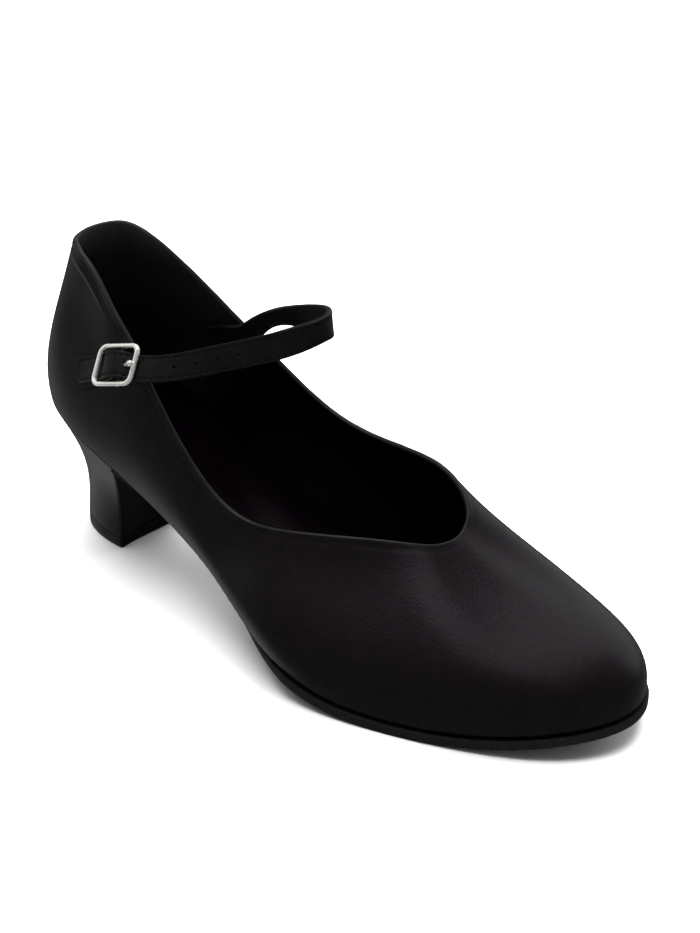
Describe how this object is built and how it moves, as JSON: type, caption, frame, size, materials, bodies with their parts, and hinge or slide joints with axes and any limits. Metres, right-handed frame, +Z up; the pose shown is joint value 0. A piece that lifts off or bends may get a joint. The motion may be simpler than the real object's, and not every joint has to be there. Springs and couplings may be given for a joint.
{
  "type": "character shoe",
  "caption": "Right-foot black leather character shoe: low rounded throat, instep strap with a small bright buckle, curved covered block heel, thin sole; worn on one foot.",
  "frame": {"origin": "middle of the heel tip's underside, on the floor the shoe stands on", "axes": "+X from the heel towards the toe, +Y towards the medial (inner) side of the right foot, +Z up"},
  "size_m": [0.2338, 0.0818, 0.1132],
  "materials": {
    "upper_leather": "black smooth leather, satin",
    "insole_lining": "black lining leather, matte",
    "sole_edge": "black dyed edge, matte",
    "heel_cover": "black smooth leather, satin",
    "heel_tip_rubber": "black rubber, matte",
    "strap_leather": "black smooth leather, satin, edge-stitched",
    "tab_leather": "black smooth leather, satin",
    "buckle_metal": "polished nickel",
    "prong_metal": "polished nickel"
  },
  "bodies": {
    "root": {"upper": "upper_leather", "insole": "insole_lining", "outsole": "sole_edge", "heel": "heel_cover", "heel_tip": "heel_tip_rubber", "strap": "strap_leather", "buckle_tab": "tab_leather", "buckle_frame": "buckle_metal", "buckle_prong": "prong_metal"}
  },
  "joints": []
}
